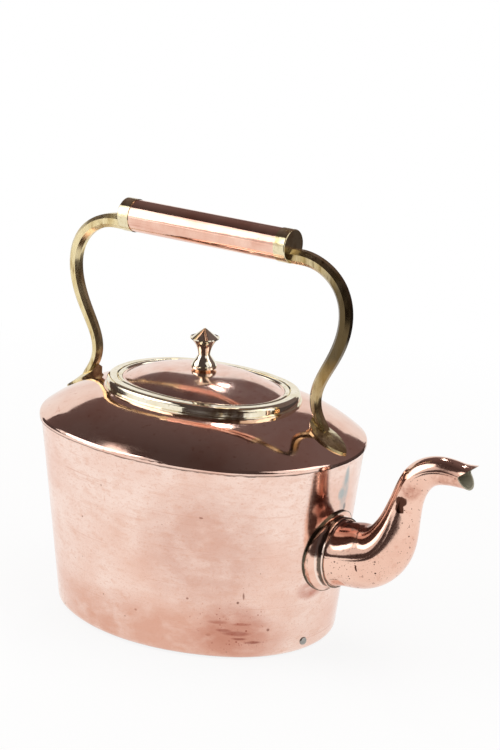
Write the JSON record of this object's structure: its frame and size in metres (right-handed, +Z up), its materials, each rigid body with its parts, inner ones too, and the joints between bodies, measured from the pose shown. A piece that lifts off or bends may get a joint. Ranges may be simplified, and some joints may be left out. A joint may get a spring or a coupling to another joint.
{
  "type": "oval kettle",
  "caption": "Oval copper kettle with a gooseneck spout, a fixed brass handle with a copper grip, and a loose domed lid with a brass knob.",
  "frame": {"origin": "centre of the flat base, on the surface that the kettle stands on", "axes": "+Z up; +X along the kettle's length towards the spout; the middle plane Y = 0 runs through spout, handle and knob"},
  "size_m": [0.3385, 0.181, 0.2873],
  "materials": {
    "satin_copper": "satin, hand polished, lightly stained",
    "polished_copper": "mirror polished",
    "spout_copper": "polished, pitted with age",
    "tinned_copper": "dull tin wash over copper",
    "polished_brass": "polished, mellowed",
    "tin_solder": "dull grey, filed"
  },
  "bodies": {
    "kettle": {"base_plate": "satin_copper", "side_wall": "satin_copper", "repair_rivet": "tin_solder", "shoulder": "polished_copper", "neck_ring": "polished_brass", "spout": "spout_copper", "spout_collar": "spout_copper", "arm_front": "polished_brass", "arm_rear": "polished_brass", "foot_burrs": "tinned_copper", "grip_tube": "polished_copper", "grip_cap_front": "polished_brass", "grip_cap_rear": "polished_brass", "tang_washers": "tinned_copper"},
    "lid": {"lid_rim": "polished_brass", "lid_panel": "polished_copper", "lid_skirt": "tinned_copper", "lid_knob": "polished_brass", "knob_washer": "tinned_copper"}
  },
  "joints": [
    {"name": "lid_lift", "type": "slide", "parent": "kettle", "child": "lid", "axis": [0, 0, 1], "range_m": [0, 0.045]}
  ]
}
